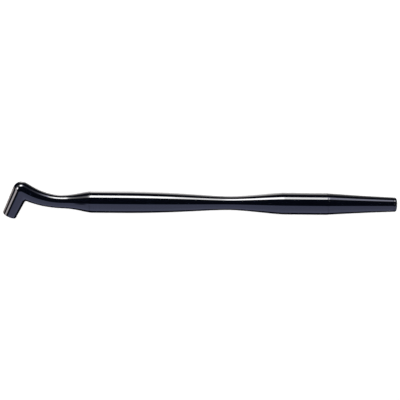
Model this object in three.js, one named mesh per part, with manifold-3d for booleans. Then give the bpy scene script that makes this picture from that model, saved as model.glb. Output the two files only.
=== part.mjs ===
// A long lug wrench for two hands: a socket leg on a swan neck, a waisted handle and a tapered tail.
//
// While the pieces are made, the bar's axis is the X axis. x = 0 is the front ring, where the neck's
// bolster meets the handle, and +X runs to the tail. The neck bends towards +Y and the leg points back
// to -Y, so the whole tool lies in the XY plane. At the end it is rolled about its bar until it rests on
// its two grips and its elbow, as it does when it is laid down.
//
// Millimetres and degrees, +Z up.

import * as THREE from 'three';
import { mergeVertices } from 'three/addons/utils/BufferGeometryUtils.js';
import Module from 'manifold-3d';

// ---- Driving dimensions ----

const FIT_GAP = 0.3; // left between pieces that touch

// Handle: two straight grips with a waist between them
const GRIP_RADIUS = 19.2;
const WAIST_RADIUS = 12.1;
const HANDLE_LENGTH = 423;
const HANDLE_WALL = 4;
const FRONT_GRIP_END = 50; // where the long front taper starts
const WAIST_AT = 247.5;
const REAR_GRIP_START = 345;
const FRONT_TAPER_PULLS = [0.5, 0.2];
const REAR_TAPER_PULLS = [0.27, 0.15];
const RING_RADIUS = 18.9; // bolster and handle at the front ring
const LIP_LENGTH = 9; // over which the handle's lip rises to the grip

// Swan neck, measured along its centreline from the front ring
const NECK_RADIUS = 11.8;
const FLARE_LENGTH = 54; // from the ring down to the slim neck
const FLARE_PULLS = [0.5, 0.25];
const FLARE_SLOPE = 0.11; // rise of the flare where it meets the ring
const NECK_STRAIGHT = 47.8; // before the bend
const BEND_RADIUS = 135;
const BEND_ANGLE = 28.5;
const NECK_REACH = 10.3; // from the bend to the elbow's centre
const SLIM_NECK_END = 62; // from here the neck thickens towards the elbow
const ROOT_PULLS = [0.1, 0.3];
const NECK_ROOT_RADIUS = 14.8; // where the neck enters the elbow
const ELBOW_RADIUS = 15;

// Socket leg, measured from the elbow's centre
const LEG_ANGLE = 26.5; // away from square to the bar, towards the front
const LEG_LENGTH = 52.6;
const MOUTH_RADIUS = 12.5;
const MOUTH_CHAMFER = 0.4;
const WELD_AT = 18.2;
const HEX_ACROSS_FLATS = 17; // a common size of wheel nut
const HEX_DEPTH = 26;
const DRILL_RADIUS = 8.1; // pilot hole that the hexagon is broached into
const DRILL_DEPTH = 30;
const LEAD_IN = { depth: 1.6, flare: 0.8 };

// Tail and its end cap
const TAIL_LENGTH = 121.4;
const TAIL_ROOT_RADIUS = 18.9;
const TAIL_HOLLOW_RADIUS = 15; // pulls the flank in, so that the taper is slightly hollow
const TAIL_TIP_RADIUS = 12.65;
const TAIL_BORE = { front: 11, rear: 8.6 };
const CAP_LENGTH = 5;
const CAP_ROUND = 2.8;
const CAP_STEM = { radius: 9.4, length: 6 };

// Rod, spigots, bushes and keys inside the handle
const ROD_RADIUS = 7;
const ROD_DEPTH = 22; // how far the rod screws into the bolster
const ROD_CHAMFER = 1;
const STUD_RADIUS = 5; // the rod's threaded tail end
const SPIGOT_LENGTH = 30;
const SPIGOT_CHAMFER = 1.5;
const BUSH_LENGTH = 12;
const BUSH_SETBACK = 12; // from the spigot's end to the bush
const KEY = { length: 18, width: 5, height: 4, setback: 2 };

// Nut and washers in the tail's recess
const RECESS_RADIUS = 9.8;
const RECESS_DEPTH = 21;
const SEAT_THICKNESS = 6;
const FASTENER_BORE = STUD_RADIUS + FIT_GAP;
const WASHER = { radius: 9.4, thickness: 2 };
const LOCK_WASHER = { radius: 8.6, thickness: 2.2, slot: 2 };
const NUT = { acrossFlats: 16, height: 8 };
const STUD_PROUD = 1;

const SIDES = 32; // facets round a large turned piece
const SMALL_SIDES = 16;
const STEPS = { root: 5, slimNeck: 3, flare: 7, lip: 3, waist: 6, bore: 3, tail: 5, capEdge: 4 }; // along a curve
const OVERRUN = 1; // how far a cutter runs past the face it opens

// ---- Derived places ----

const radians = THREE.MathUtils.degToRad;
const boreRadius = GRIP_RADIUS - HANDLE_WALL;
const spigotRadius = boreRadius - FIT_GAP;
const rodHoleRadius = ROD_RADIUS + FIT_GAP;
const bend = radians(BEND_ANGLE);
const neckLength = NECK_STRAIGHT + BEND_RADIUS * bend + NECK_REACH;
const elbow = new THREE.Vector3(
  -NECK_STRAIGHT - BEND_RADIUS * Math.sin(bend) - NECK_REACH * Math.cos(bend),
  BEND_RADIUS * (1 - Math.cos(bend)) + NECK_REACH * Math.sin(bend),
  0,
);
const tailStart = HANDLE_LENGTH + FIT_GAP;
const tailSpigotEnd = HANDLE_LENGTH - SPIGOT_LENGTH;
const capStart = tailStart + TAIL_LENGTH - CAP_LENGTH;
const tailEnd = capStart - FIT_GAP;
const recessFloor = tailEnd - RECESS_DEPTH;
const rodShoulder = recessFloor - SEAT_THICKNESS;

// ---- Booleans ----

const wasm = await Module();
wasm.setup();

function solid(geometry) {
  const bare = geometry.clone();
  bare.deleteAttribute('normal');
  bare.deleteAttribute('uv');
  const welded = mergeVertices(bare, 1e-4);
  return new wasm.Manifold(new wasm.Mesh({
    numProp: 3,
    vertProperties: new Float32Array(welded.attributes.position.array),
    triVerts: new Uint32Array(welded.index.array),
  }));
}

function geometryOf(manifold) {
  const mesh = manifold.getMesh();
  const geometry = new THREE.BufferGeometry();
  geometry.setAttribute('position', new THREE.BufferAttribute(mesh.vertProperties, 3));
  geometry.setIndex(new THREE.BufferAttribute(mesh.triVerts, 1));
  geometry.computeVertexNormals();
  return geometry;
}

function cut(geometry, ...tools) {
  return geometryOf(tools.reduce((left, tool) => left.subtract(solid(tool)), solid(geometry)));
}

function join(...geometries) {
  return geometryOf(geometries.map(solid).reduce((left, right) => left.add(right)));
}

// ---- Shapes ----

// Turns a profile of [x, radius] points about the X axis. The profile runs towards +X on the outside.
function turned(points, sides = SIDES) {
  const profile = points.map(([x, radius]) => new THREE.Vector2(radius, x));
  return new THREE.LatheGeometry(profile, sides).rotateZ(-Math.PI / 2);
}

function cylinder(from, to, radius, sides = SMALL_SIDES) {
  return turned([[from, 0], [from, radius], [to, radius], [to, 0]], sides);
}

function ring(from, to, outer, inner, sides = SIDES) {
  return turned([[from, inner], [from, outer], [to, outer], [to, inner], [from, inner]], sides);
}

function hexagon(from, to, acrossFlats) {
  return cylinder(from, to, acrossFlats / 2 / Math.cos(Math.PI / 6), 6);
}

function curvePoints(curve, steps) {
  return curve.getPoints(steps).map((point) => [point.x, point.y]);
}

// A smooth taper between two stretches, as [x, radius] points. Each pull is the share of the length over
// which that end keeps its own direction.
function taper(start, end, pulls, steps, endSlope = 0) {
  const length = end[0] - start[0];
  const reach = pulls[1] * length;
  return curvePoints(new THREE.CubicBezierCurve(
    new THREE.Vector2(...start),
    new THREE.Vector2(start[0] + pulls[0] * length, start[1]),
    new THREE.Vector2(end[0] - reach, end[1] - endSlope * reach),
    new THREE.Vector2(...end),
  ), steps);
}

function evenly(start, end, steps) {
  return curvePoints(new THREE.LineCurve(new THREE.Vector2(...start), new THREE.Vector2(...end)), steps);
}

// Bends a piece that was made straight along the neck's centreline, which x = -s follows for a length s.
function bendAlongNeck(geometry) {
  const position = geometry.attributes.position;
  for (let i = 0; i < position.count; i += 1) {
    const past = -position.getX(i) - NECK_STRAIGHT;
    if (past > 0) {
      const turn = Math.min(past / BEND_RADIUS, bend);
      const straight = past - turn * BEND_RADIUS;
      const reach = BEND_RADIUS - position.getY(i);
      const x = -NECK_STRAIGHT - reach * Math.sin(turn) - straight * Math.cos(turn);
      const y = BEND_RADIUS - reach * Math.cos(turn) + straight * Math.sin(turn);
      position.setXY(i, x, y);
    }
  }
  geometry.computeVertexNormals();
  return geometry;
}

function legRadius(along) {
  return THREE.MathUtils.mapLinear(along, 0, LEG_LENGTH, ELBOW_RADIUS, MOUTH_RADIUS);
}

// Turns a piece made along +X, with the elbow's centre at x = 0, to lie along the leg.
function alongLeg(geometry) {
  return geometry.rotateZ(-Math.PI / 2 - radians(LEG_ANGLE)).translate(elbow.x, elbow.y, 0);
}

// A block half in a spigot and half in the handle's wall: the key, or grown by the gap, its keyway.
function keyBlock(from, to, gap = 0) {
  return new THREE.BoxGeometry(to - from + 2 * gap, KEY.width + 2 * gap, KEY.height + 2 * gap)
    .translate((from + to) / 2, 0, boreRadius);
}

const frontKey = [SPIGOT_LENGTH - KEY.setback - KEY.length, SPIGOT_LENGTH - KEY.setback];
const rearKey = frontKey.map((x) => HANDLE_LENGTH - x).reverse();

// ---- Pieces ----

function socketBarrel() {
  const start = WELD_AT + FIT_GAP;
  const shoulder = LEG_LENGTH - MOUTH_CHAMFER;
  const beyond = LEG_LENGTH + OVERRUN;
  const leadInStart = LEG_LENGTH - LEAD_IN.depth;
  const leadInSlope = LEAD_IN.flare / LEAD_IN.depth;
  const blank = turned([
    [start, 0],
    [start, legRadius(start)],
    [shoulder, legRadius(shoulder)],
    [LEG_LENGTH, MOUTH_RADIUS - MOUTH_CHAMFER],
    [LEG_LENGTH, 0],
  ]);
  const leadIn = turned([
    [leadInStart, 0],
    [leadInStart, HEX_ACROSS_FLATS / 2],
    [beyond, HEX_ACROSS_FLATS / 2 + leadInSlope * (beyond - leadInStart)],
    [beyond, 0],
  ]);
  const pilot = cylinder(LEG_LENGTH - DRILL_DEPTH, LEG_LENGTH, DRILL_RADIUS);
  return alongLeg(cut(blank, hexagon(LEG_LENGTH - HEX_DEPTH, beyond, HEX_ACROSS_FLATS), pilot, leadIn));
}

function gooseneck() {
  const root = [-neckLength, NECK_ROOT_RADIUS];
  const slimStart = [-SLIM_NECK_END, NECK_RADIUS];
  const slimEnd = [-FLARE_LENGTH, NECK_RADIUS];
  const neck = bendAlongNeck(turned([
    [-neckLength, 0],
    ...taper(root, slimStart, ROOT_PULLS, STEPS.root),
    ...evenly(slimStart, slimEnd, STEPS.slimNeck).slice(1),
    ...taper(slimEnd, [-FIT_GAP, RING_RADIUS], FLARE_PULLS, STEPS.flare, FLARE_SLOPE).slice(1),
    [-FIT_GAP, spigotRadius],
    [SPIGOT_LENGTH - SPIGOT_CHAMFER, spigotRadius],
    [SPIGOT_LENGTH, spigotRadius - SPIGOT_CHAMFER],
    [SPIGOT_LENGTH, 0],
  ]));
  const ball = new THREE.SphereGeometry(ELBOW_RADIUS, SIDES, SIDES / 2).translate(elbow.x, elbow.y, 0);
  const stub = alongLeg(turned([
    [0, 0],
    [0, ELBOW_RADIUS],
    [WELD_AT, legRadius(WELD_AT)],
    [WELD_AT, 0],
  ]));
  return cut(
    join(neck, ball, stub),
    cylinder(-ROD_DEPTH - FIT_GAP, SPIGOT_LENGTH + OVERRUN, rodHoleRadius),
    keyBlock(...frontKey, FIT_GAP),
  );
}

function handleSleeve() {
  const lip = new THREE.EllipseCurve(LIP_LENGTH, RING_RADIUS, LIP_LENGTH, GRIP_RADIUS - RING_RADIUS,
    Math.PI, Math.PI / 2, true);
  const waist = (steps) => [
    ...taper([FRONT_GRIP_END, GRIP_RADIUS], [WAIST_AT, WAIST_RADIUS], FRONT_TAPER_PULLS, 2 * steps),
    ...taper([WAIST_AT, WAIST_RADIUS], [REAR_GRIP_START, GRIP_RADIUS], REAR_TAPER_PULLS, steps).slice(1),
  ];
  const bore = waist(STEPS.bore).map(([x, radius]) => [x, radius - HANDLE_WALL]);
  const sleeve = turned([
    ...curvePoints(lip, STEPS.lip),
    ...waist(STEPS.waist),
    [HANDLE_LENGTH, GRIP_RADIUS],
    [HANDLE_LENGTH, boreRadius],
    ...bore.reverse(),
    [0, boreRadius],
    [0, RING_RADIUS],
  ]);
  return cut(
    sleeve,
    keyBlock(-OVERRUN, frontKey[1], FIT_GAP),
    keyBlock(rearKey[0], HANDLE_LENGTH + OVERRUN, FIT_GAP),
  );
}

function tailCone() {
  const flank = new THREE.QuadraticBezierCurve(
    new THREE.Vector2(tailStart, TAIL_ROOT_RADIUS),
    new THREE.Vector2((tailStart + tailEnd) / 2, TAIL_HOLLOW_RADIUS),
    new THREE.Vector2(tailEnd, TAIL_TIP_RADIUS),
  );
  return cut(
    turned([
      [tailSpigotEnd, TAIL_BORE.front],
      [tailSpigotEnd, spigotRadius - SPIGOT_CHAMFER],
      [tailSpigotEnd + SPIGOT_CHAMFER, spigotRadius],
      [tailStart, spigotRadius],
      ...curvePoints(flank, STEPS.tail),
      [tailEnd, RECESS_RADIUS],
      [recessFloor, RECESS_RADIUS],
      [recessFloor, FASTENER_BORE],
      [rodShoulder, FASTENER_BORE],
      [rodShoulder, TAIL_BORE.rear],
      [tailSpigotEnd, TAIL_BORE.front],
    ]),
    keyBlock(...rearKey, FIT_GAP),
  );
}

// Closes the recess behind the nut. Its flange has the tail's own rounded end.
function endCap() {
  const end = capStart + CAP_LENGTH;
  const edge = new THREE.EllipseCurve(end - CAP_ROUND, TAIL_TIP_RADIUS - CAP_ROUND, CAP_ROUND, CAP_ROUND,
    Math.PI / 2, 0, true);
  const stemEnd = capStart - FIT_GAP - CAP_STEM.length;
  return turned([
    [stemEnd, 0],
    [stemEnd, CAP_STEM.radius],
    [capStart, CAP_STEM.radius],
    [capStart, TAIL_TIP_RADIUS],
    ...curvePoints(edge, STEPS.capEdge),
    [end, 0],
  ]);
}

// The nut and washers stand on the recess's floor, one after another.
const washerStart = recessFloor + FIT_GAP;
const lockWasherStart = washerStart + WASHER.thickness + FIT_GAP;
const nutStart = lockWasherStart + LOCK_WASHER.thickness + FIT_GAP;
const studEnd = nutStart + NUT.height + STUD_PROUD;

function tieRod() {
  return turned([
    [-ROD_DEPTH, 0],
    [-ROD_DEPTH, ROD_RADIUS - ROD_CHAMFER],
    [ROD_CHAMFER - ROD_DEPTH, ROD_RADIUS],
    [rodShoulder - FIT_GAP, ROD_RADIUS],
    [rodShoulder - FIT_GAP, STUD_RADIUS],
    [studEnd - ROD_CHAMFER, STUD_RADIUS],
    [studEnd, STUD_RADIUS - ROD_CHAMFER],
    [studEnd, 0],
  ], SMALL_SIDES);
}

function bush(start) {
  return ring(start, start + BUSH_LENGTH, spigotRadius, rodHoleRadius);
}

function lockWasher() {
  const { radius, thickness, slot } = LOCK_WASHER;
  const gap = new THREE.BoxGeometry(2 * thickness, slot, radius)
    .translate(lockWasherStart + thickness / 2, 0, radius / 2 + FASTENER_BORE / 2);
  return cut(ring(lockWasherStart, lockWasherStart + thickness, radius, FASTENER_BORE, SMALL_SIDES), gap);
}

function nut() {
  const bore = cylinder(nutStart - OVERRUN, nutStart + NUT.height + OVERRUN, FASTENER_BORE);
  return cut(hexagon(nutStart, nutStart + NUT.height, NUT.acrossFlats), bore);
}

// ---- Assembly ----

const BLACK_ENAMEL = { color: 0x0b0c10, roughness: 0.12, metalness: 0 };
const BLACK_GRIP = { color: 0x0a0b0e, roughness: 0.1, metalness: 0 };
const BRIGHT_ZINC = { color: 0xa9adb0, roughness: 0.4, metalness: 0.9 };
const BARE_STEEL = { color: 0x6c6f73, roughness: 0.45, metalness: 0.9 };
const NYLON = { color: 0xd9d6cc, roughness: 0.6, metalness: 0 };

const tool = new THREE.Group();

function add(name, geometry, finish) {
  const mesh = new THREE.Mesh(geometry, new THREE.MeshStandardMaterial(finish));
  mesh.name = name;
  tool.add(mesh);
}

add('socket_barrel', socketBarrel(), BLACK_ENAMEL);
add('gooseneck', gooseneck(), BLACK_ENAMEL);
add('handle_sleeve', handleSleeve(), BLACK_GRIP);
add('tail_cone', tailCone(), BLACK_ENAMEL);
add('end_cap', endCap(), BLACK_GRIP);
add('tie_rod', tieRod(), BARE_STEEL);
add('front_bush', bush(SPIGOT_LENGTH + BUSH_SETBACK), NYLON);
add('rear_bush', bush(tailSpigotEnd - BUSH_SETBACK - BUSH_LENGTH), NYLON);
add('front_key', keyBlock(...frontKey), BARE_STEEL);
add('rear_key', keyBlock(...rearKey), BARE_STEEL);
add('tail_washer', ring(washerStart, washerStart + WASHER.thickness, WASHER.radius, FASTENER_BORE,
  SMALL_SIDES), BRIGHT_ZINC);
add('lock_washer', lockWasher(), BRIGHT_ZINC);
add('tail_nut', nut(), BRIGHT_ZINC);

// Laid down: the elbow drops until it touches what the grips lie on. The origin is then on that surface,
// under the middle of the tool.
tool.rotation.x = -Math.asin((GRIP_RADIUS - ELBOW_RADIUS) / elbow.y);
tool.updateMatrixWorld(true);
const extent = new THREE.Box3().setFromObject(tool, true);
const middle = extent.getCenter(new THREE.Vector3());
tool.position.set(-middle.x, -middle.y, -extent.min.z);

export default tool;
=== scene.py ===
"""A long black lug wrench: a socket leg on a swan neck, a waisted handle and a tapered tail.

The outer pieces are built here as fine meshes on the same driving dimensions as the CAD, in millimetres and
in the bar's own frame: x = 0 is the front ring, +X runs to the tail, the neck bends towards +Y and the leg
points back to -Y. TO_ROW then places them where the CAD's handle lies. The pieces inside stay CAD nodes.
"""

import math

import bmesh
import bpy
import numpy as np
from mathutils import Matrix, Vector


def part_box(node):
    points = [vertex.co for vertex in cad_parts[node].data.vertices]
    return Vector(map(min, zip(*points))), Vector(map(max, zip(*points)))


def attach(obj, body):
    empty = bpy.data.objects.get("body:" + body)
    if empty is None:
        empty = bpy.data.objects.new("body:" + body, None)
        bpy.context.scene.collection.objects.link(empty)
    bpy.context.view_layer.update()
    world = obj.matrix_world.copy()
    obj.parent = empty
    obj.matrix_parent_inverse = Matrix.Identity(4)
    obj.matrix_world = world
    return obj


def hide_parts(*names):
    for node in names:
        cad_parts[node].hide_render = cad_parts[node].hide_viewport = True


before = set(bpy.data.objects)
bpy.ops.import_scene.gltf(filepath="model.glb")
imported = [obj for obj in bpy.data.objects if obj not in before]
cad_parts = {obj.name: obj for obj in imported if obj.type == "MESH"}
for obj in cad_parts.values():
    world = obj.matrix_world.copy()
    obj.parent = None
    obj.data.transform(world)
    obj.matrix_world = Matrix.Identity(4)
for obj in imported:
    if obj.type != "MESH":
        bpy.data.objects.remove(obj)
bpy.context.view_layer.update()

# ---- Driving dimensions, in millimetres and degrees ----

FIT_GAP = 0.3
GRIP_RADIUS = 19.2
WAIST_RADIUS = 12.1
HANDLE_LENGTH = 423
HANDLE_WALL = 4
FRONT_GRIP_END = 50
WAIST_AT = 247.5
REAR_GRIP_START = 345
FRONT_TAPER_PULLS = (0.5, 0.2)
REAR_TAPER_PULLS = (0.27, 0.15)
RING_RADIUS = 18.9
LIP_LENGTH = 9

NECK_RADIUS = 11.8
FLARE_LENGTH = 54
FLARE_PULLS = (0.5, 0.25)
FLARE_SLOPE = 0.11
NECK_STRAIGHT = 47.8
BEND_RADIUS = 135
BEND_ANGLE = math.radians(28.5)
NECK_REACH = 10.3
SLIM_NECK_END = 62
ROOT_PULLS = (0.1, 0.3)
NECK_ROOT_RADIUS = 14.8
ELBOW_RADIUS = 15
ELBOW_REACH = 26  # the last stretch of the neck, shaped together with the elbow
ELBOW_INNER_FILLET = 2.5
ELBOW_SOFTNESS = 4.0  # how gently the elbow's outer dome turns into its inner fillet

LEG_ANGLE = math.radians(26.5)
LEG_LENGTH = 52.6
MOUTH_RADIUS = 12.5
MOUTH_CHAMFER = 0.4
WELD_AT = 18.2
WELD_MARGIN = 0.2  # the elbow's turn ends at least this far before the weld
HEX_ACROSS_FLATS = 17
HEX_CORNER_RADIUS = 9.62  # the broach's corners are slightly rounded
HEX_DEPTH = 26
HEX_FLOOR_FILLET = 0.6
DRILL_RADIUS = 8.1
DRILL_DEPTH = 30
DRILL_POINT = 1
DRILL_ROUND = 0.6
LEAD_IN_DEPTH = 1.6
LEAD_IN_FLARE = 0.8

TAIL_LENGTH = 121.4
TAIL_ROOT_RADIUS = 18.9
TAIL_HOLLOW_RADIUS = 15
TAIL_TIP_RADIUS = 12.65
TAIL_BORE_FRONT = 11
TAIL_BORE_REAR = 8.6
CAP_LENGTH = 5
CAP_ROUND = 2.8
CAP_TAPER = 0.1  # carries the tail's taper on over the cap's flange
CAP_STEM_RADIUS = 9.4
CAP_STEM_LENGTH = 6

ROD_RADIUS = 7
ROD_DEPTH = 22
STUD_RADIUS = 5
SPIGOT_LENGTH = 30
SPIGOT_CHAMFER = 1.5
RECESS_RADIUS = 9.8
RECESS_DEPTH = 21
SEAT_THICKNESS = 6

# How far edges and corners are rounded
RING_EDGE = 0.12  # the crisp edges where two outer pieces meet at a ring
EDGE = 0.2  # most other edges
MOUTH_EDGE = 0.25
HOLE_CORNER = 0.3
BLIND_CORNER = 0.5

# How finely the meshes are made

SIDES = 144  # points round every turned piece
STEP = 2.5  # longest quad along a turned piece
NECK_STEP = 1.6  # between the neck's rings
HEX_CLOSE_STEP = 0.15  # between the socket's rings where the lead-in runs out into the flats
HEX_CLOSE_END = 3.6  # the depth that those rings go down to
POLE = 1e-6  # a ring smaller than this is one point
SHARP_TURN = math.radians(35)  # an edge is sharp where the surface turns by more than this
STEPS = {  # how many steps each curve is made of
    "corner": 5,
    "neck": 200,
    "elbow_start": 10,
    "elbow_arc": 26,
    "elbow_end": 8,
    "hexagon": 14,
    "hexagon_floor": 4,
    "lip": 14,
    "front_taper": 90,
    "rear_taper": 60,
    "tail": 50,
    "cap": 16,
}

BORE_RADIUS = GRIP_RADIUS - HANDLE_WALL
SPIGOT_RADIUS = BORE_RADIUS - FIT_GAP
ROD_HOLE_RADIUS = ROD_RADIUS + FIT_GAP
NECK_LENGTH = NECK_STRAIGHT + BEND_RADIUS * BEND_ANGLE + NECK_REACH
ELBOW = np.array([
    -NECK_STRAIGHT - BEND_RADIUS * math.sin(BEND_ANGLE) - NECK_REACH * math.cos(BEND_ANGLE),
    BEND_RADIUS * (1 - math.cos(BEND_ANGLE)) + NECK_REACH * math.sin(BEND_ANGLE),
    0.0,
])
LEG_AXIS = np.array([-math.sin(LEG_ANGLE), -math.cos(LEG_ANGLE), 0.0])
LEG_SIDE = np.array([LEG_AXIS[1], -LEG_AXIS[0], 0.0])
TAIL_START = HANDLE_LENGTH + FIT_GAP
TAIL_SPIGOT_END = HANDLE_LENGTH - SPIGOT_LENGTH
CAP_START = TAIL_START + TAIL_LENGTH - CAP_LENGTH
TAIL_END = CAP_START - FIT_GAP
RECESS_FLOOR = TAIL_END - RECESS_DEPTH
ROD_SHOULDER = RECESS_FLOOR - SEAT_THICKNESS

ROLL = math.asin((GRIP_RADIUS - ELBOW_RADIUS) / ELBOW[1])  # the grips and the elbow all touch the ground
low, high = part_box("handle_sleeve")
TO_ROW = (
    Matrix.Translation((low.x, (low.y + high.y) / 2, (low.z + high.z) / 2))
    @ Matrix.Rotation(-ROLL, 4, "X")
    @ Matrix.Scale(0.001, 4)
)

# ---- Mesh making ----

AROUND = np.arange(SIDES) * 2 * math.pi / SIDES
UP = np.array([0.0, 0.0, 1.0])


def ring(centre, side, radii):
    """Points round a centre. Angle 0 points along the unit vector side, and 90 degrees along UP."""
    radii = np.broadcast_to(radii, SIDES)[:, None]
    return centre + radii * (np.cos(AROUND)[:, None] * side + np.sin(AROUND)[:, None] * UP)


def bar_ring(x, radii):
    centre = np.array([x, 0.0, 0.0])
    if np.max(radii) < POLE:
        return centre[None, :]
    return ring(centre, np.array([0.0, 1.0, 0.0]), radii)


def leg_ring(along, radii):
    centre = ELBOW + along * LEG_AXIS
    if np.max(radii) < POLE:
        return centre[None, :]
    return ring(centre, LEG_SIDE, radii)


def bezier(points, t):
    """One point of a Bezier curve of any degree."""
    points = [np.asarray(p, float) for p in points]
    while len(points) > 1:
        points = [a + (b - a) * t for a, b in zip(points, points[1:])]
    return points[0]


def arc_reach(turn):
    """How far a cubic Bezier's inner points stand from its ends to make an arc of radius 1."""
    return 4 / 3 * math.tan(turn / 4)


def rounded(points):
    """A polyline of (x, radius) points, where a third number rounds that corner to that radius."""
    path = []
    for i, point in enumerate(points):
        here = np.array(point[:2], float)
        if len(point) < 3 or i in (0, len(points) - 1):
            path.append(here)
            continue
        before = np.array(points[i - 1][:2], float) - here
        after = np.array(points[i + 1][:2], float) - here
        before /= np.linalg.norm(before)
        after /= np.linalg.norm(after)
        turn = math.pi - math.acos(np.clip(before @ after, -1, 1))
        reach = point[2] * math.tan(turn / 2)
        start = here + before * reach
        end = here + after * reach
        share = arc_reach(turn) * point[2] / reach
        arc = [start, start + (here - start) * share, end + (here - end) * share, end]
        path += [bezier(arc, t) for t in np.linspace(0, 1, STEPS["corner"] + 1)]
    return path


def curve(points, steps):
    return [tuple(bezier(points, t)) for t in np.linspace(0, 1, steps + 1)]


def taper(start, end, pulls, steps, end_slope=0.0):
    """A smooth taper. Each of its two pulls is the share of the length that holds an end's own direction."""
    length = end[0] - start[0]
    reach = pulls[1] * length
    return curve([
        start,
        (start[0] + pulls[0] * length, start[1]),
        (end[0] - reach, end[1] - end_slope * reach),
        end,
    ], steps)


def dense(points):
    """Adds points so that no stretch is longer than STEP."""
    path = [np.asarray(points[0], float)]
    for point in points[1:]:
        start = path[-1]
        parts = max(1, math.ceil(np.linalg.norm(point - start) / STEP))
        path += [start + (point - start) * k / parts for k in range(1, parts + 1)]
    return path


def turned_rows(points):
    return [bar_ring(x, radius) for x, radius in dense(rounded(points))]


def skin(name, rows, loop=False, slot_of_row=None):
    """Joins rings of points, and single points at poles, into one closed mesh in the row frame."""
    starts = np.cumsum([0] + [len(row) for row in rows]).tolist()
    matrix = np.array(TO_ROW)
    points = np.vstack(rows) @ matrix[:3, :3].T + matrix[:3, 3]
    pairs = [(k, k + 1) for k in range(len(rows) - 1)] + ([(len(rows) - 1, 0)] if loop else [])
    faces, slots = [], []
    for a, b in pairs:
        one, two = starts[a], starts[b]
        for i in range(max(len(rows[a]), len(rows[b]))):
            j = (i + 1) % SIDES
            if len(rows[a]) == 1:
                faces.append((one, two + j, two + i))
            elif len(rows[b]) == 1:
                faces.append((one + i, one + j, two))
            else:
                faces.append((one + i, one + j, two + j, two + i))
            slots.append(slot_of_row(a) if slot_of_row else 0)
    mesh = bpy.data.meshes.new(name)
    mesh.from_pydata(points.tolist(), [], faces)
    mesh.polygons.foreach_set("material_index", slots)
    piece = bpy.data.objects.new(name, mesh)
    bpy.context.scene.collection.objects.link(piece)
    tidy(mesh)
    return piece


def tidy(mesh):
    """Turns the faces outwards and shades them smoothly between sharp edges."""
    shape = bmesh.new()
    shape.from_mesh(mesh)
    bmesh.ops.recalc_face_normals(shape, faces=shape.faces)
    for face in shape.faces:
        face.smooth = True
    shape.to_mesh(mesh)
    shape.free()
    mesh.set_sharp_from_angle(angle=SHARP_TURN)


# ---- The pieces ----

def neck_profile():
    """The neck's (place, radius) points from the elbow to the front ring. Its places are lengths along the
    centreline, counted below 0, because the ring is at 0."""
    root, slim = (-NECK_LENGTH, NECK_ROOT_RADIUS), (-SLIM_NECK_END, NECK_RADIUS)
    flare, lip = (-FLARE_LENGTH, NECK_RADIUS), (-FIT_GAP, RING_RADIUS)
    steps = STEPS["neck"]
    return taper(root, slim, ROOT_PULLS, steps) + taper(flare, lip, FLARE_PULLS, steps, FLARE_SLOPE)


NECK_PROFILE = np.array(neck_profile())


def neck_radius(along):
    """The neck's radius at a length along its centreline from the front ring."""
    return float(np.interp(-along, NECK_PROFILE[:, 0], NECK_PROFILE[:, 1]))


def neck_frame(along):
    """The neck's centre, heading and outer side at a length along its centreline."""
    past = max(0.0, along - NECK_STRAIGHT)
    turn = min(past / BEND_RADIUS, BEND_ANGLE)
    beyond = past - turn * BEND_RADIUS
    sine, cosine = math.sin(turn), math.cos(turn)
    heading, side = np.array([-cosine, sine, 0.0]), np.array([sine, cosine, 0.0])
    straight = min(along, NECK_STRAIGHT)
    centre = np.array([-straight - BEND_RADIUS * sine, BEND_RADIUS * (1 - cosine), 0.0]) + beyond * heading
    return centre, heading, side


def neck_ring(along, radius):
    centre, _, side = neck_frame(along)
    return ring(centre, side, radius)


def on_neck(along, angle):
    """The point of the neck's surface at that length along its centreline and that angle round it."""
    centre, _, side = neck_frame(along)
    return centre + neck_radius(along) * (math.cos(angle) * side + math.sin(angle) * UP)


def leg_radius(along):
    return ELBOW_RADIUS + (MOUTH_RADIUS - ELBOW_RADIUS) * along / LEG_LENGTH


def on_leg(along, angle):
    return ELBOW + along * LEG_AXIS + leg_radius(along) * (math.cos(angle) * LEG_SIDE + math.sin(angle) * UP)


def elbow_rows():
    """From the round neck, over the elbow's dome and its inner fillet, to the weld on the leg.

    Each line along the surface runs up the neck, turns on its own arc and runs straight down the leg. The arc
    is the dome's on the outer side, and shrinks to the fillet on the inner side."""
    _, heading, _ = neck_frame(NECK_LENGTH)
    turn = math.acos(float(heading @ LEG_AXIS))
    columns = []
    for angle in AROUND:
        offset = ELBOW_RADIUS * math.cos(angle)
        softened = math.hypot(offset - ELBOW_INNER_FILLET, ELBOW_SOFTNESS)
        arc_radius = (offset + ELBOW_INNER_FILLET + softened) / 2
        end = min((arc_radius - offset) * math.tan(turn / 2), WELD_AT - WELD_MARGIN)
        up_neck = np.linspace(ELBOW_REACH, end, STEPS["elbow_start"] + 1)
        down_leg = np.linspace(end, WELD_AT, STEPS["elbow_end"] + 1)
        neck = [on_neck(NECK_LENGTH - t, angle) for t in up_neck]
        leg = [on_leg(t, angle) for t in down_leg]
        start, finish = neck[-1], leg[0]
        reach = arc_reach(turn) * np.linalg.norm(finish - start) / (2 * math.sin(turn / 2))
        bend = [start, start + reach * heading, finish - reach * LEG_AXIS, finish]
        arc = curve(bend, STEPS["elbow_arc"])[1:-1]
        columns.append(neck + arc + leg)
    return list(np.array(columns).swapaxes(0, 1))


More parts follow.
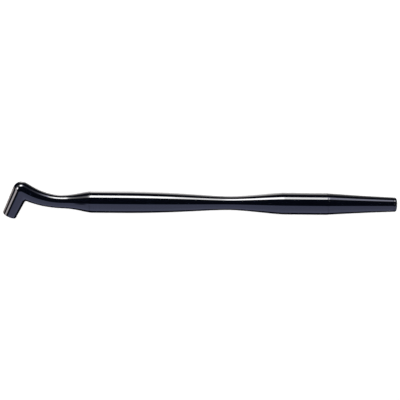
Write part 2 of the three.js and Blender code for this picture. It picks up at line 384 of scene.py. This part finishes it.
def gooseneck():
    rim = FIT_GAP + RING_EDGE
    rim_radius = neck_radius(rim) - RING_EDGE
    inside = turned_rows([
        (-ROD_DEPTH - FIT_GAP, 0),
        (-ROD_DEPTH - FIT_GAP, ROD_HOLE_RADIUS, BLIND_CORNER),
        (SPIGOT_LENGTH, ROD_HOLE_RADIUS, HOLE_CORNER),
        (SPIGOT_LENGTH, SPIGOT_RADIUS - SPIGOT_CHAMFER, EDGE),
        (SPIGOT_LENGTH - SPIGOT_CHAMFER, SPIGOT_RADIUS, EDGE),
        (-FIT_GAP, SPIGOT_RADIUS),
        (-FIT_GAP, rim_radius),
    ])
    corner = [
        neck_ring(rim - RING_EDGE * math.cos(t), rim_radius + RING_EDGE * math.sin(t))
        for t in np.linspace(0, math.pi / 2, STEPS["corner"] + 1)[1:]
    ]
    margin = NECK_STEP / 4
    neck = [
        neck_ring(along, neck_radius(along))
        for along in np.arange(rim + margin, NECK_LENGTH - ELBOW_REACH - margin, NECK_STEP)
    ]
    return skin("swan_neck", inside + corner + neck + elbow_rows() + [leg_ring(WELD_AT, 0)])


def socket_barrel():
    shoulder = LEG_LENGTH - MOUTH_CHAMFER
    outside = dense(rounded([
        (WELD_AT, 0),
        (WELD_AT, leg_radius(WELD_AT)),
        (shoulder, leg_radius(shoulder), MOUTH_EDGE),
        (LEG_LENGTH, MOUTH_RADIUS - MOUTH_CHAMFER, EDGE),
        (LEG_LENGTH, HEX_ACROSS_FLATS / 2 + LEAD_IN_FLARE + MOUTH_EDGE),
    ]))
    rows = [leg_ring(along, radius) for along, radius in outside]
    painted = len(rows) - 2  # the rim's flat end is bare, like the bore

    sixth = math.pi / 3
    from_flat = (AROUND + sixth / 2) % sixth - sixth / 2
    hexagon = np.minimum(HEX_ACROSS_FLATS / 2 / np.cos(from_flat), HEX_CORNER_RADIUS)
    close = np.arange(HEX_CLOSE_STEP / 3, HEX_CLOSE_END, HEX_CLOSE_STEP)
    wide = np.linspace(HEX_CLOSE_END, HEX_DEPTH - HEX_FLOOR_FILLET, STEPS["hexagon"] + 1)[1:]
    for depth in [*close, *wide]:
        flare = HEX_ACROSS_FLATS / 2 + LEAD_IN_FLARE * (1 - depth / LEAD_IN_DEPTH)
        rows.append(leg_ring(LEG_LENGTH - depth, np.maximum(hexagon, flare)))
    for share in np.linspace(0, 1, STEPS["hexagon_floor"] + 1)[1:]:
        depth = HEX_DEPTH - HEX_FLOOR_FILLET * (1 - share) ** 2
        rows.append(leg_ring(LEG_LENGTH - depth, hexagon + (DRILL_RADIUS - hexagon) * share))
    drill = rounded([
        (HEX_DEPTH, DRILL_RADIUS),
        (DRILL_DEPTH - DRILL_POINT, DRILL_RADIUS, DRILL_ROUND),
        (DRILL_DEPTH, 0),
    ])
    rows += [leg_ring(LEG_LENGTH - depth, radius) for depth, radius in drill[1:]]
    return skin("socket", rows, slot_of_row=lambda row: 0 if row < painted else 1)


def handle():
    lip_start = math.acos(1 - EDGE / LIP_LENGTH)
    lip = [
        (LIP_LENGTH * (1 - math.cos(t)), RING_RADIUS + (GRIP_RADIUS - RING_RADIUS) * math.sin(t))
        for t in np.linspace(lip_start, math.pi / 2, STEPS["lip"] + 1)
    ]
    front, rear = (FRONT_GRIP_END, GRIP_RADIUS), (REAR_GRIP_START, GRIP_RADIUS)
    middle = (WAIST_AT, WAIST_RADIUS)
    waist = (
        taper(front, middle, FRONT_TAPER_PULLS, STEPS["front_taper"])
        + taper(middle, rear, REAR_TAPER_PULLS, STEPS["rear_taper"])[1:]
    )
    bore = [(x, radius - HANDLE_WALL) for x, radius in reversed(waist)]
    return skin("handle_grip", turned_rows([
        *lip,
        *waist,
        (HANDLE_LENGTH, GRIP_RADIUS, RING_EDGE),
        (HANDLE_LENGTH, BORE_RADIUS, EDGE),
        *bore,
        (0, BORE_RADIUS, EDGE),
        (0, RING_RADIUS - EDGE),
    ]), loop=True)


def tail():
    flank = curve([
        (TAIL_START, TAIL_ROOT_RADIUS),
        ((TAIL_START + TAIL_END) / 2, TAIL_HOLLOW_RADIUS),
        (TAIL_END, TAIL_TIP_RADIUS),
    ], STEPS["tail"])
    stud_hole = STUD_RADIUS + FIT_GAP
    middle = (TAIL_SPIGOT_END + ROD_SHOULDER) / 2
    return skin("tail_taper", turned_rows([
        (middle, (TAIL_BORE_FRONT + TAIL_BORE_REAR) / 2),
        (TAIL_SPIGOT_END, TAIL_BORE_FRONT, EDGE),
        (TAIL_SPIGOT_END, SPIGOT_RADIUS - SPIGOT_CHAMFER, EDGE),
        (TAIL_SPIGOT_END + SPIGOT_CHAMFER, SPIGOT_RADIUS, EDGE),
        (TAIL_START, SPIGOT_RADIUS),
        (*flank[0], RING_EDGE),
        *flank[1:-1],
        (*flank[-1], EDGE),
        (TAIL_END, RECESS_RADIUS, EDGE),
        (RECESS_FLOOR, RECESS_RADIUS, HOLE_CORNER),
        (RECESS_FLOOR, stud_hole, EDGE),
        (ROD_SHOULDER, stud_hole, EDGE),
        (ROD_SHOULDER, TAIL_BORE_REAR, HOLE_CORNER),
    ]), loop=True)


def end_cap():
    end = CAP_START + CAP_LENGTH
    stem_end = CAP_START - FIT_GAP - CAP_STEM_LENGTH
    face_radius = TAIL_TIP_RADIUS - CAP_TAPER - CAP_ROUND
    return skin("tail_cap", turned_rows([
        (stem_end, 0),
        (stem_end, CAP_STEM_RADIUS, BLIND_CORNER),
        (CAP_START, CAP_STEM_RADIUS),
        (CAP_START, TAIL_TIP_RADIUS, EDGE),
        *[
            (end - CAP_ROUND * (1 - math.sin(t)), face_radius + CAP_ROUND * math.cos(t))
            for t in np.linspace(0, math.pi / 2, STEPS["cap"] + 1)
        ],
        (end, 0),
    ]))


# ---- Materials ----

class Shader:
    """A material's node tree, with one Principled BSDF, and short ways to add nodes to it."""

    def __init__(self, name):
        self.material = bpy.data.materials.new(name)
        self.material.use_nodes = True
        self.tree = self.material.node_tree
        self.surface = self.tree.nodes["Principled BSDF"]
        self.place = self.node("ShaderNodeTexCoord").outputs["Object"]

    def node(self, kind, **values):
        made = self.tree.nodes.new(kind)
        for name, value in values.items():
            setattr(made, name, value)
        return made

    def link(self, source, target):
        self.tree.links.new(source, target)

    def set(self, **values):
        for name, value in values.items():
            self.surface.inputs[name.replace("_", " ")].default_value = value

    def stretched(self, *scale):
        mapping = self.node("ShaderNodeMapping")
        mapping.inputs["Scale"].default_value = scale
        self.link(self.place, mapping.inputs["Vector"])
        return mapping.outputs["Vector"]

    def noise(self, scale, detail=2, place=None):
        made = self.node("ShaderNodeTexNoise")
        made.inputs["Scale"].default_value = scale
        made.inputs["Detail"].default_value = detail
        self.link(place or self.place, made.inputs["Vector"])
        return made.outputs["Fac"]

    def spots(self, scale, size):
        """1 on small round spots, fading to 0 at their edge."""
        made = self.node("ShaderNodeTexVoronoi")
        made.inputs["Scale"].default_value = scale
        self.link(self.place, made.inputs["Vector"])
        return self.span(made.outputs["Distance"], (size, size / 2))

    def span(self, value, source, target=(0, 1), smooth=False):
        """Maps value from the source range to the target range, and holds it there."""
        made = self.node("ShaderNodeMapRange")
        made.interpolation_type = "SMOOTHSTEP" if smooth else "LINEAR"
        for name, number in zip(("From Min", "From Max", "To Min", "To Max"), (*source, *target)):
            made.inputs[name].default_value = number
        self.link(value, made.inputs["Value"])
        return made.outputs["Result"]

    def math(self, operation, *values):
        made = self.node("ShaderNodeMath", operation=operation)
        for index, value in enumerate(values):
            if isinstance(value, bpy.types.NodeSocket):
                self.link(value, made.inputs[index])
            else:
                made.inputs[index].default_value = value
        return made.outputs["Value"]

    def mix(self, factor, one, two):
        """A blend of two colours, each an RGB triple or another node's colour."""
        made = self.node("ShaderNodeMix", data_type="RGBA")
        self.link(factor, made.inputs["Factor"])
        for socket, value in zip(made.inputs[6:8], (one, two)):  # the node's two colour inputs
            if isinstance(value, bpy.types.NodeSocket):
                self.link(value, socket)
            else:
                socket.default_value = (*value, 1)
        return made.outputs[2]

    def bump(self, *layers):
        """Layers are (height, strength, distance in metres), from coarse to fine."""
        normal = None
        for height, strength, distance in layers:
            made = self.node("ShaderNodeBump")
            made.inputs["Strength"].default_value = strength
            made.inputs["Distance"].default_value = distance
            self.link(height, made.inputs["Height"])
            if normal:
                self.link(normal, made.inputs["Normal"])
            normal = made.outputs["Normal"]
        self.link(normal, self.surface.inputs["Normal"])

    def paint(self, name, value):
        self.link(value, self.surface.inputs[name])


NOISE_MIDDLE = (0.3, 0.7)  # nearly all of a noise texture's values lie between these
FLECKS = (0.55, 0.75)  # its high values, which make scattered patches
DUST_ROUGHNESS = 0.3


def gloss_black(
    name, dark, light, cloud_scale, dust_scale, dust_size, dust_patches, dust_cover, dust_colour,
    rub_stretch, rub_detail, rub_range, rub_roughness, gloss_scale, roughness, peel_scales, peel_strength,
):
    """Glossy black: cloudy depth, fine dust, hairline rubs along the bar and a faint orange peel."""
    shader = Shader(name)
    cloud = shader.noise(cloud_scale, detail=4)
    patches = shader.span(shader.noise(dust_patches), FLECKS)
    dust = shader.math("MULTIPLY", shader.spots(dust_scale, dust_size), patches)
    colour = shader.mix(cloud, dark, light)
    colour = shader.mix(shader.math("MULTIPLY", dust, dust_cover), colour, dust_colour)

    rubs = shader.span(shader.noise(1, rub_detail, shader.stretched(*rub_stretch)), rub_range)
    gloss = shader.span(shader.noise(gloss_scale, detail=5), NOISE_MIDDLE, roughness)
    gloss = shader.math("ADD", gloss, shader.math("MULTIPLY", rubs, rub_roughness))
    gloss = shader.math("ADD", gloss, shader.math("MULTIPLY", dust, DUST_ROUGHNESS))
    shader.paint("Base Color", colour)
    shader.paint("Roughness", gloss)

    coarse, fine = peel_scales
    shader.bump(
        (shader.noise(coarse), peel_strength, 0.00012),
        (shader.noise(fine), peel_strength, 0.00004),
        (dust, 0.2, 0.00003),
    )
    shader.set(IOR=1.5)
    return shader.material


def enamel():
    """Glossy black enamel over steel."""
    return gloss_black(
        "black_enamel",
        dark=(0.0012, 0.0017, 0.0036),
        light=(0.0026, 0.0033, 0.0068),
        cloud_scale=45,
        dust_scale=1500,
        dust_size=0.16,
        dust_patches=260,
        dust_cover=0.25,
        dust_colour=(0.12, 0.12, 0.13),
        rub_stretch=(60, 900, 900),
        rub_detail=5,
        rub_range=(0.6, 0.75),
        rub_roughness=0.05,
        gloss_scale=130,
        roughness=(0.03, 0.06),
        peel_scales=(330, 1100),
        peel_strength=0.05,
    )


def grip():
    """Glossy black moulded plastic, slightly darker than the enamel, with longer handling marks."""
    return gloss_black(
        "gloss_black_grip",
        dark=(0.0011, 0.0015, 0.0033),
        light=(0.0023, 0.003, 0.0062),
        cloud_scale=30,
        dust_scale=1400,
        dust_size=0.15,
        dust_patches=220,
        dust_cover=0.22,
        dust_colour=(0.11, 0.11, 0.12),
        rub_stretch=(25, 1300, 1300),
        rub_detail=6,
        rub_range=(0.62, 0.78),
        rub_roughness=0.06,
        gloss_scale=90,
        roughness=(0.028, 0.055),
        peel_scales=(160, 900),
        peel_strength=0.04,
    )


def broached_steel():
    """The socket's bare bore and rim: darkened steel with lengthwise broach marks and brighter worn spots."""
    shader = Shader("broached_steel")
    worn = shader.span(shader.noise(220, detail=4), (0.42, 0.62))
    marks = shader.noise(1, 4, shader.stretched(2600, 500, 2600))
    shader.paint("Base Color", shader.mix(worn, (0.16, 0.155, 0.15), (0.42, 0.41, 0.40)))
    shader.paint("Roughness", shader.span(marks, NOISE_MIDDLE, (0.3, 0.48)))
    shader.bump((marks, 0.25, 0.00003), (shader.noise(1800, detail=3), 0.15, 0.00002))
    shader.set(Metallic=1.0)
    return shader.material


def plain_finish(name, dark, light, metallic, roughness):
    """A machined or plated metal, or a moulded bush where metallic is 0."""
    shader = Shader(name)
    cloud = shader.noise(160, detail=4)
    lines = shader.noise(1, 4, shader.stretched(2400, 160, 160))
    shader.paint("Base Color", shader.mix(cloud, dark, light))
    shader.paint("Roughness", shader.span(lines, NOISE_MIDDLE, roughness))
    shader.bump((lines, 0.2, 0.00003), (shader.noise(1500), 0.1, 0.00002))
    shader.set(Metallic=metallic)
    return shader.material


def dress(piece, materials, node):
    """Gives a new piece its materials, hangs it on the root body and hides the CAD node that it stands for.
    """
    for material in materials:
        piece.data.materials.append(material)
    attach(piece, "root")
    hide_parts(node)


black = enamel()
plastic = grip()
dress(gooseneck(), [black], "gooseneck")
dress(socket_barrel(), [black, broached_steel()], "socket_barrel")
dress(handle(), [plastic], "handle_sleeve")
dress(tail(), [black], "tail_cone")
dress(end_cap(), [plastic], "end_cap")

machined = plain_finish("machined_steel", (0.28, 0.28, 0.29), (0.42, 0.42, 0.43), 1.0, (0.28, 0.44))
plated = plain_finish("zinc_plating", (0.52, 0.53, 0.55), (0.68, 0.69, 0.7), 1.0, (0.22, 0.38))
moulded = plain_finish("moulded_nylon", (0.62, 0.6, 0.55), (0.72, 0.7, 0.65), 0.0, (0.42, 0.58))
FINISHES = {
    "tie_rod": machined,
    "front_key": machined,
    "rear_key": machined,
    "front_bush": moulded,
    "rear_bush": moulded,
    "tail_washer": plated,
    "lock_washer": plated,
    "tail_nut": plated,
}
for node, finish in FINISHES.items():
    for material_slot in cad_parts[node].material_slots:
        material_slot.material = finish

# ---- Camera ----

FROM_VERTICAL = math.radians(28.5)  # how far the camera leans from straight above, towards the elbow's side
PICTURE_TURN = 0.0092  # the bar runs down to the right in the picture by this angle
LENS_MM = 100
SENSOR_WIDTH_MM = 36

# The other places and sizes from here on are in metres.
DISTANCE = 1.978
AXIS_BELOW_CENTRE = 0.00516  # how far under the picture's middle the bar's axis passes
MIDDLE_LEFT_OF_CENTRE = 0.00116  # and how far to its left the tool's middle lies
NEAREST, FARTHEST = 0.05, 60

towards = Vector((0, math.sin(FROM_VERTICAL), math.cos(FROM_VERTICAL)))
flat_up = Vector((0, math.cos(FROM_VERTICAL), -math.sin(FROM_VERTICAL)))
flat_right = Vector((1, 0, 0))
right = flat_right * math.cos(PICTURE_TURN) + flat_up * math.sin(PICTURE_TURN)
above = flat_up * math.cos(PICTURE_TURN) - flat_right * math.sin(PICTURE_TURN)
axis_point = Vector((0, (low.y + high.y) / 2, (low.z + high.z) / 2))
target = axis_point + above * AXIS_BELOW_CENTRE + right * MIDDLE_LEFT_OF_CENTRE

camera = bpy.data.objects.new("camera", bpy.data.cameras.new("camera"))
camera.data.lens = LENS_MM
camera.data.sensor_fit = "HORIZONTAL"
camera.data.sensor_width = SENSOR_WIDTH_MM
camera.data.clip_start = NEAREST
camera.data.clip_end = FARTHEST
camera.matrix_world = Matrix((
    (right.x, above.x, towards.x, 0),
    (right.y, above.y, towards.y, 0),
    (right.z, above.z, towards.z, 0),
    (0, 0, 0, 1),
))
camera.location = target + towards * DISTANCE
bpy.context.scene.collection.objects.link(camera)
bpy.context.scene.camera = camera

# ---- Floor, backdrop and lights ----

FLOOR_RADIUS = 4.5
SWEEP_RADIUS = 1.2  # the curve from the floor up into the wall
WALL_TOP = 2.6
STAGE_SIDES = 96
SWEEP_STEPS = 12
FLOOR_GLOW = 0.5  # keeps the floor near white away from the key light
AMBIENT = 0.15

TENT_RADIUS = 25
TENT_SUBDIVISIONS = 5
TINY = 1e-4  # keeps the slant finite straight along the bar

KEY_DISTANCE = 2.2
KEY_SIZE = 0.45
KEY_WATTS = 28


def cyclorama():
    """A pale floor that curves up into a wall all round."""
    profile = [(radius, 0) for radius in (0.5, 1, 2, 3, FLOOR_RADIUS)]
    profile += [
        (FLOOR_RADIUS + SWEEP_RADIUS * math.sin(t), SWEEP_RADIUS * (1 - math.cos(t)))
        for t in np.linspace(0, math.pi / 2, SWEEP_STEPS + 1)[1:]
    ]
    profile.append((FLOOR_RADIUS + SWEEP_RADIUS, WALL_TOP))

    angles = np.arange(STAGE_SIDES) * 2 * math.pi / STAGE_SIDES
    points = [(0.0, 0.0, 0.0)]
    for radius, height in profile:
        points += [(radius * math.cos(a), radius * math.sin(a), height) for a in angles]
    faces = [(0, 1 + i, 1 + (i + 1) % STAGE_SIDES) for i in range(STAGE_SIDES)]
    for k in range(len(profile) - 1):
        inner, outer = 1 + k * STAGE_SIDES, 1 + (k + 1) * STAGE_SIDES
        for i in range(STAGE_SIDES):
            j = (i + 1) % STAGE_SIDES
            faces.append((inner + i, outer + i, outer + j, inner + j))
    mesh = bpy.data.meshes.new("floor_and_wall")
    mesh.from_pydata(points, [], faces)
    tidy(mesh)
    sheet = bpy.data.objects.new("floor_and_wall", mesh)
    bpy.context.scene.collection.objects.link(sheet)

    shader = Shader("pale_floor")
    shader.paint("Base Color", shader.mix(shader.noise(0.7, detail=3), (0.86, 0.865, 0.87), (0.9, 0.9, 0.9)))
    shader.set(Roughness=0.9, Specular_IOR_Level=0, Emission_Color=(1, 1, 1, 1), Emission_Strength=FLOOR_GLOW)
    mesh.materials.append(shader.material)
    sheet.visible_glossy = False


def level_along(shader, value, levels):
    """A level that changes along value, by (value, level) points."""
    first, last = levels[0][0], levels[-1][0]
    top = max(level for _, level in levels)
    ramp = shader.node("ShaderNodeValToRGB")
    stops = ramp.color_ramp.elements
    stops.remove(stops[-1])
    for index, (place, level) in enumerate(levels):
        position = (place - first) / (last - first)
        stop = stops.new(position) if index else stops[0]
        stop.position = position
        stop.color = (level / top, level / top, level / top, 1)
    shader.link(shader.span(value, (first, last)), ramp.inputs["Fac"])
    return shader.math("MULTIPLY", ramp.outputs["Color"], top)


def light_tent():
    """What the gloss reflects: panels of light far off in every direction, placed by two numbers.

    lean is the angle in degrees from straight up, turning towards +Y, and slant is how far a direction leaves
    the plane across the bar, towards +X, as a tangent."""
    mesh = bpy.data.meshes.new("light_tent")
    shape = bmesh.new()
    bmesh.ops.create_icosphere(shape, subdivisions=TENT_SUBDIVISIONS, radius=TENT_RADIUS)
    shape.to_mesh(mesh)
    shape.free()
    tent = bpy.data.objects.new("light_tent", mesh)
    bpy.context.scene.collection.objects.link(tent)
    tent.visible_camera = tent.visible_diffuse = tent.visible_shadow = False
    tent.visible_transmission = tent.visible_volume_scatter = False

    shader = Shader("tent_panels")
    split = shader.node("ShaderNodeSeparateXYZ")
    shader.link(shader.place, split.inputs[0])
    x, y, z = split.outputs
    lean = shader.math("DEGREES", shader.math("ARCTAN2", y, z))
    full_turn = shader.math("MULTIPLY", shader.math("LESS_THAN", lean, 0), 360)
    lean_all_round = shader.math("ADD", lean, full_turn)  # from 0 to 360, not from -180 to 180
    across = shader.math("ADD", shader.math("MULTIPLY", y, y), shader.math("MULTIPLY", z, z))
    slant = shader.math("DIVIDE", x, shader.math("MAXIMUM", shader.math("SQRT", across), TINY))

    total = None
    for panel in PANELS:
        (start, end), soft = panel["lean"], panel["softness"]
        angle = lean_all_round if end > 180 else lean
        inside = shader.math(
            "MULTIPLY",
            shader.span(angle, (start - soft, start + soft), smooth=True),
            shader.span(angle, (end - soft, end + soft), (1, 0), smooth=True),
        )
        scaled = shader.node("ShaderNodeVectorMath", operation="SCALE")
        scaled.inputs[0].default_value = panel["colour"]
        level = level_along(shader, slant, panel["levels"])
        shader.link(shader.math("MULTIPLY", inside, level), scaled.inputs["Scale"])
        if total is None:
            total = scaled.outputs[0]
        else:
            both = shader.node("ShaderNodeVectorMath", operation="ADD")
            shader.link(total, both.inputs[0])
            shader.link(scaled.outputs[0], both.inputs[1])
            total = both.outputs[0]
    glow = shader.node("ShaderNodeEmission")
    shader.link(total, glow.inputs["Color"])
    shader.link(glow.outputs[0], shader.tree.nodes["Material Output"].inputs["Surface"])
    shader.tree.nodes.remove(shader.surface)
    shader.material.cycles.emission_sampling = "NONE"
    mesh.materials.append(shader.material)


# Each panel reaches over a range of lean, with edges that are soft over some degrees. Its levels are
# (slant, radiance) points.
PANELS = [
    # the key strip, low on the elbow's side
    dict(lean=(78.3, 100.2), softness=1.0, colour=(1.0, 1.0, 1.02), levels=[
        (-1.60, 1.0), (-0.62, 1.3), (-0.45, 2.5), (-0.36, 4.0), (-0.30, 8), (-0.26, 27), (0.04, 27),
        (0.08, 18), (0.13, 16), (0.17, 11), (0.19, 0.0), (0.80, 0.0),
    ]),
    # its fainter, bluer end, which the tail catches
    dict(lean=(81, 104), softness=2.5, colour=(1.0, 1.02, 1.3), levels=[
        (-0.5, 0.0), (0.16, 0.0), (0.19, 8), (0.225, 5), (0.275, 3.6), (0.35, 2.0), (0.45, 0.8), (0.80, 0.0),
    ]),
    # the broad cool panel overhead, and its longer part on the far side
    dict(lean=(-12, 6), softness=1.5, colour=(0.9, 0.98, 1.6), levels=[
        (-0.62, 0.0), (-0.50, 0.5), (-0.42, 1.0), (1.2, 1.0), (3.0, 0.6),
    ]),
    dict(lean=(-83, -12), softness=1.5, colour=(0.93, 1.0, 1.6), levels=[
        (-1.4, 0.0), (-1.0, 0.9), (-0.42, 1.0), (1.2, 1.0), (3.0, 0.6),
    ]),
    # the bright ground seen along the near rim
    dict(lean=(144, 190), softness=2.5, colour=(1.0, 0.98, 0.97), levels=[
        (-0.45, 0.0), (-0.35, 1.0), (-0.25, 1.6), (-0.175, 3.0), (-0.10, 4.2), (-0.05, 3.2), (0.0, 2.2),
        (0.05, 1.5), (0.10, 1.8), (0.13, 1.8), (0.175, 0.6), (0.225, 0.26), (0.30, 0.1), (2.0, 0.1),
    ]),
    # the ground seen along the leg's outer rim
    dict(lean=(183, 212), softness=3.0, colour=(1.0, 0.88, 0.85), levels=[
        (-2.8, 0.0), (-2.4, 2.4), (-1.0, 2.2), (-0.8, 0.0), (2.0, 0.0),
    ]),
    # the warm card at the head's end, and the bright lamp beside it
    dict(lean=(-7, 70), softness=3.0, colour=(1.0, 0.92, 0.97), levels=[
        (-7.0, 0.0), (-5.2, 0.0), (-4.2, 4.0), (-2.2, 8.0), (-1.5, 7.0), (-1.2, 0.0), (2.0, 0.0),
    ]),
    dict(lean=(40, 70), softness=4.0, colour=(1.0, 0.98, 1.0), levels=[
        (-1.5, 0.0), (-1.2, 20), (-0.85, 30), (-0.70, 0.0), (2.0, 0.0),
    ]),
    # two strips that show mostly in the views from the ends
    dict(lean=(-36, -22), softness=2.0, colour=(1.0, 1.0, 1.0), levels=[
        (-2.0, 0.0), (-1.15, 14), (-0.80, 14), (-0.70, 0.0), (2.0, 0.0),
    ]),
    dict(lean=(16, 30), softness=2.0, colour=(1.0, 1.0, 1.0), levels=[
        (-2.0, 0.0), (0.75, 0.0), (0.85, 7), (1.10, 7), (1.4, 0.0),
    ]),
]


def key_light():
    """One soft square light from where the camera stands, so that its shadow hides behind the tool."""
    light = bpy.data.lights.new("key", "AREA")
    light.size = KEY_SIZE
    light.energy = KEY_WATTS
    lamp = bpy.data.objects.new("key", light)
    lamp.location = towards * KEY_DISTANCE
    lamp.rotation_mode = "QUATERNION"
    lamp.rotation_quaternion = (-towards).to_track_quat("-Z", "Y")
    lamp.visible_camera = False
    lamp.visible_glossy = False
    bpy.context.scene.collection.objects.link(lamp)


cyclorama()
light_tent()
key_light()

world = bpy.data.worlds.new("studio")
world.use_nodes = True
background = world.node_tree.nodes["Background"]
background.inputs["Color"].default_value = (1, 1, 1, 1)
background.inputs["Strength"].default_value = AMBIENT
bpy.context.scene.world = world
bpy.context.scene.view_settings.view_transform = "Standard"
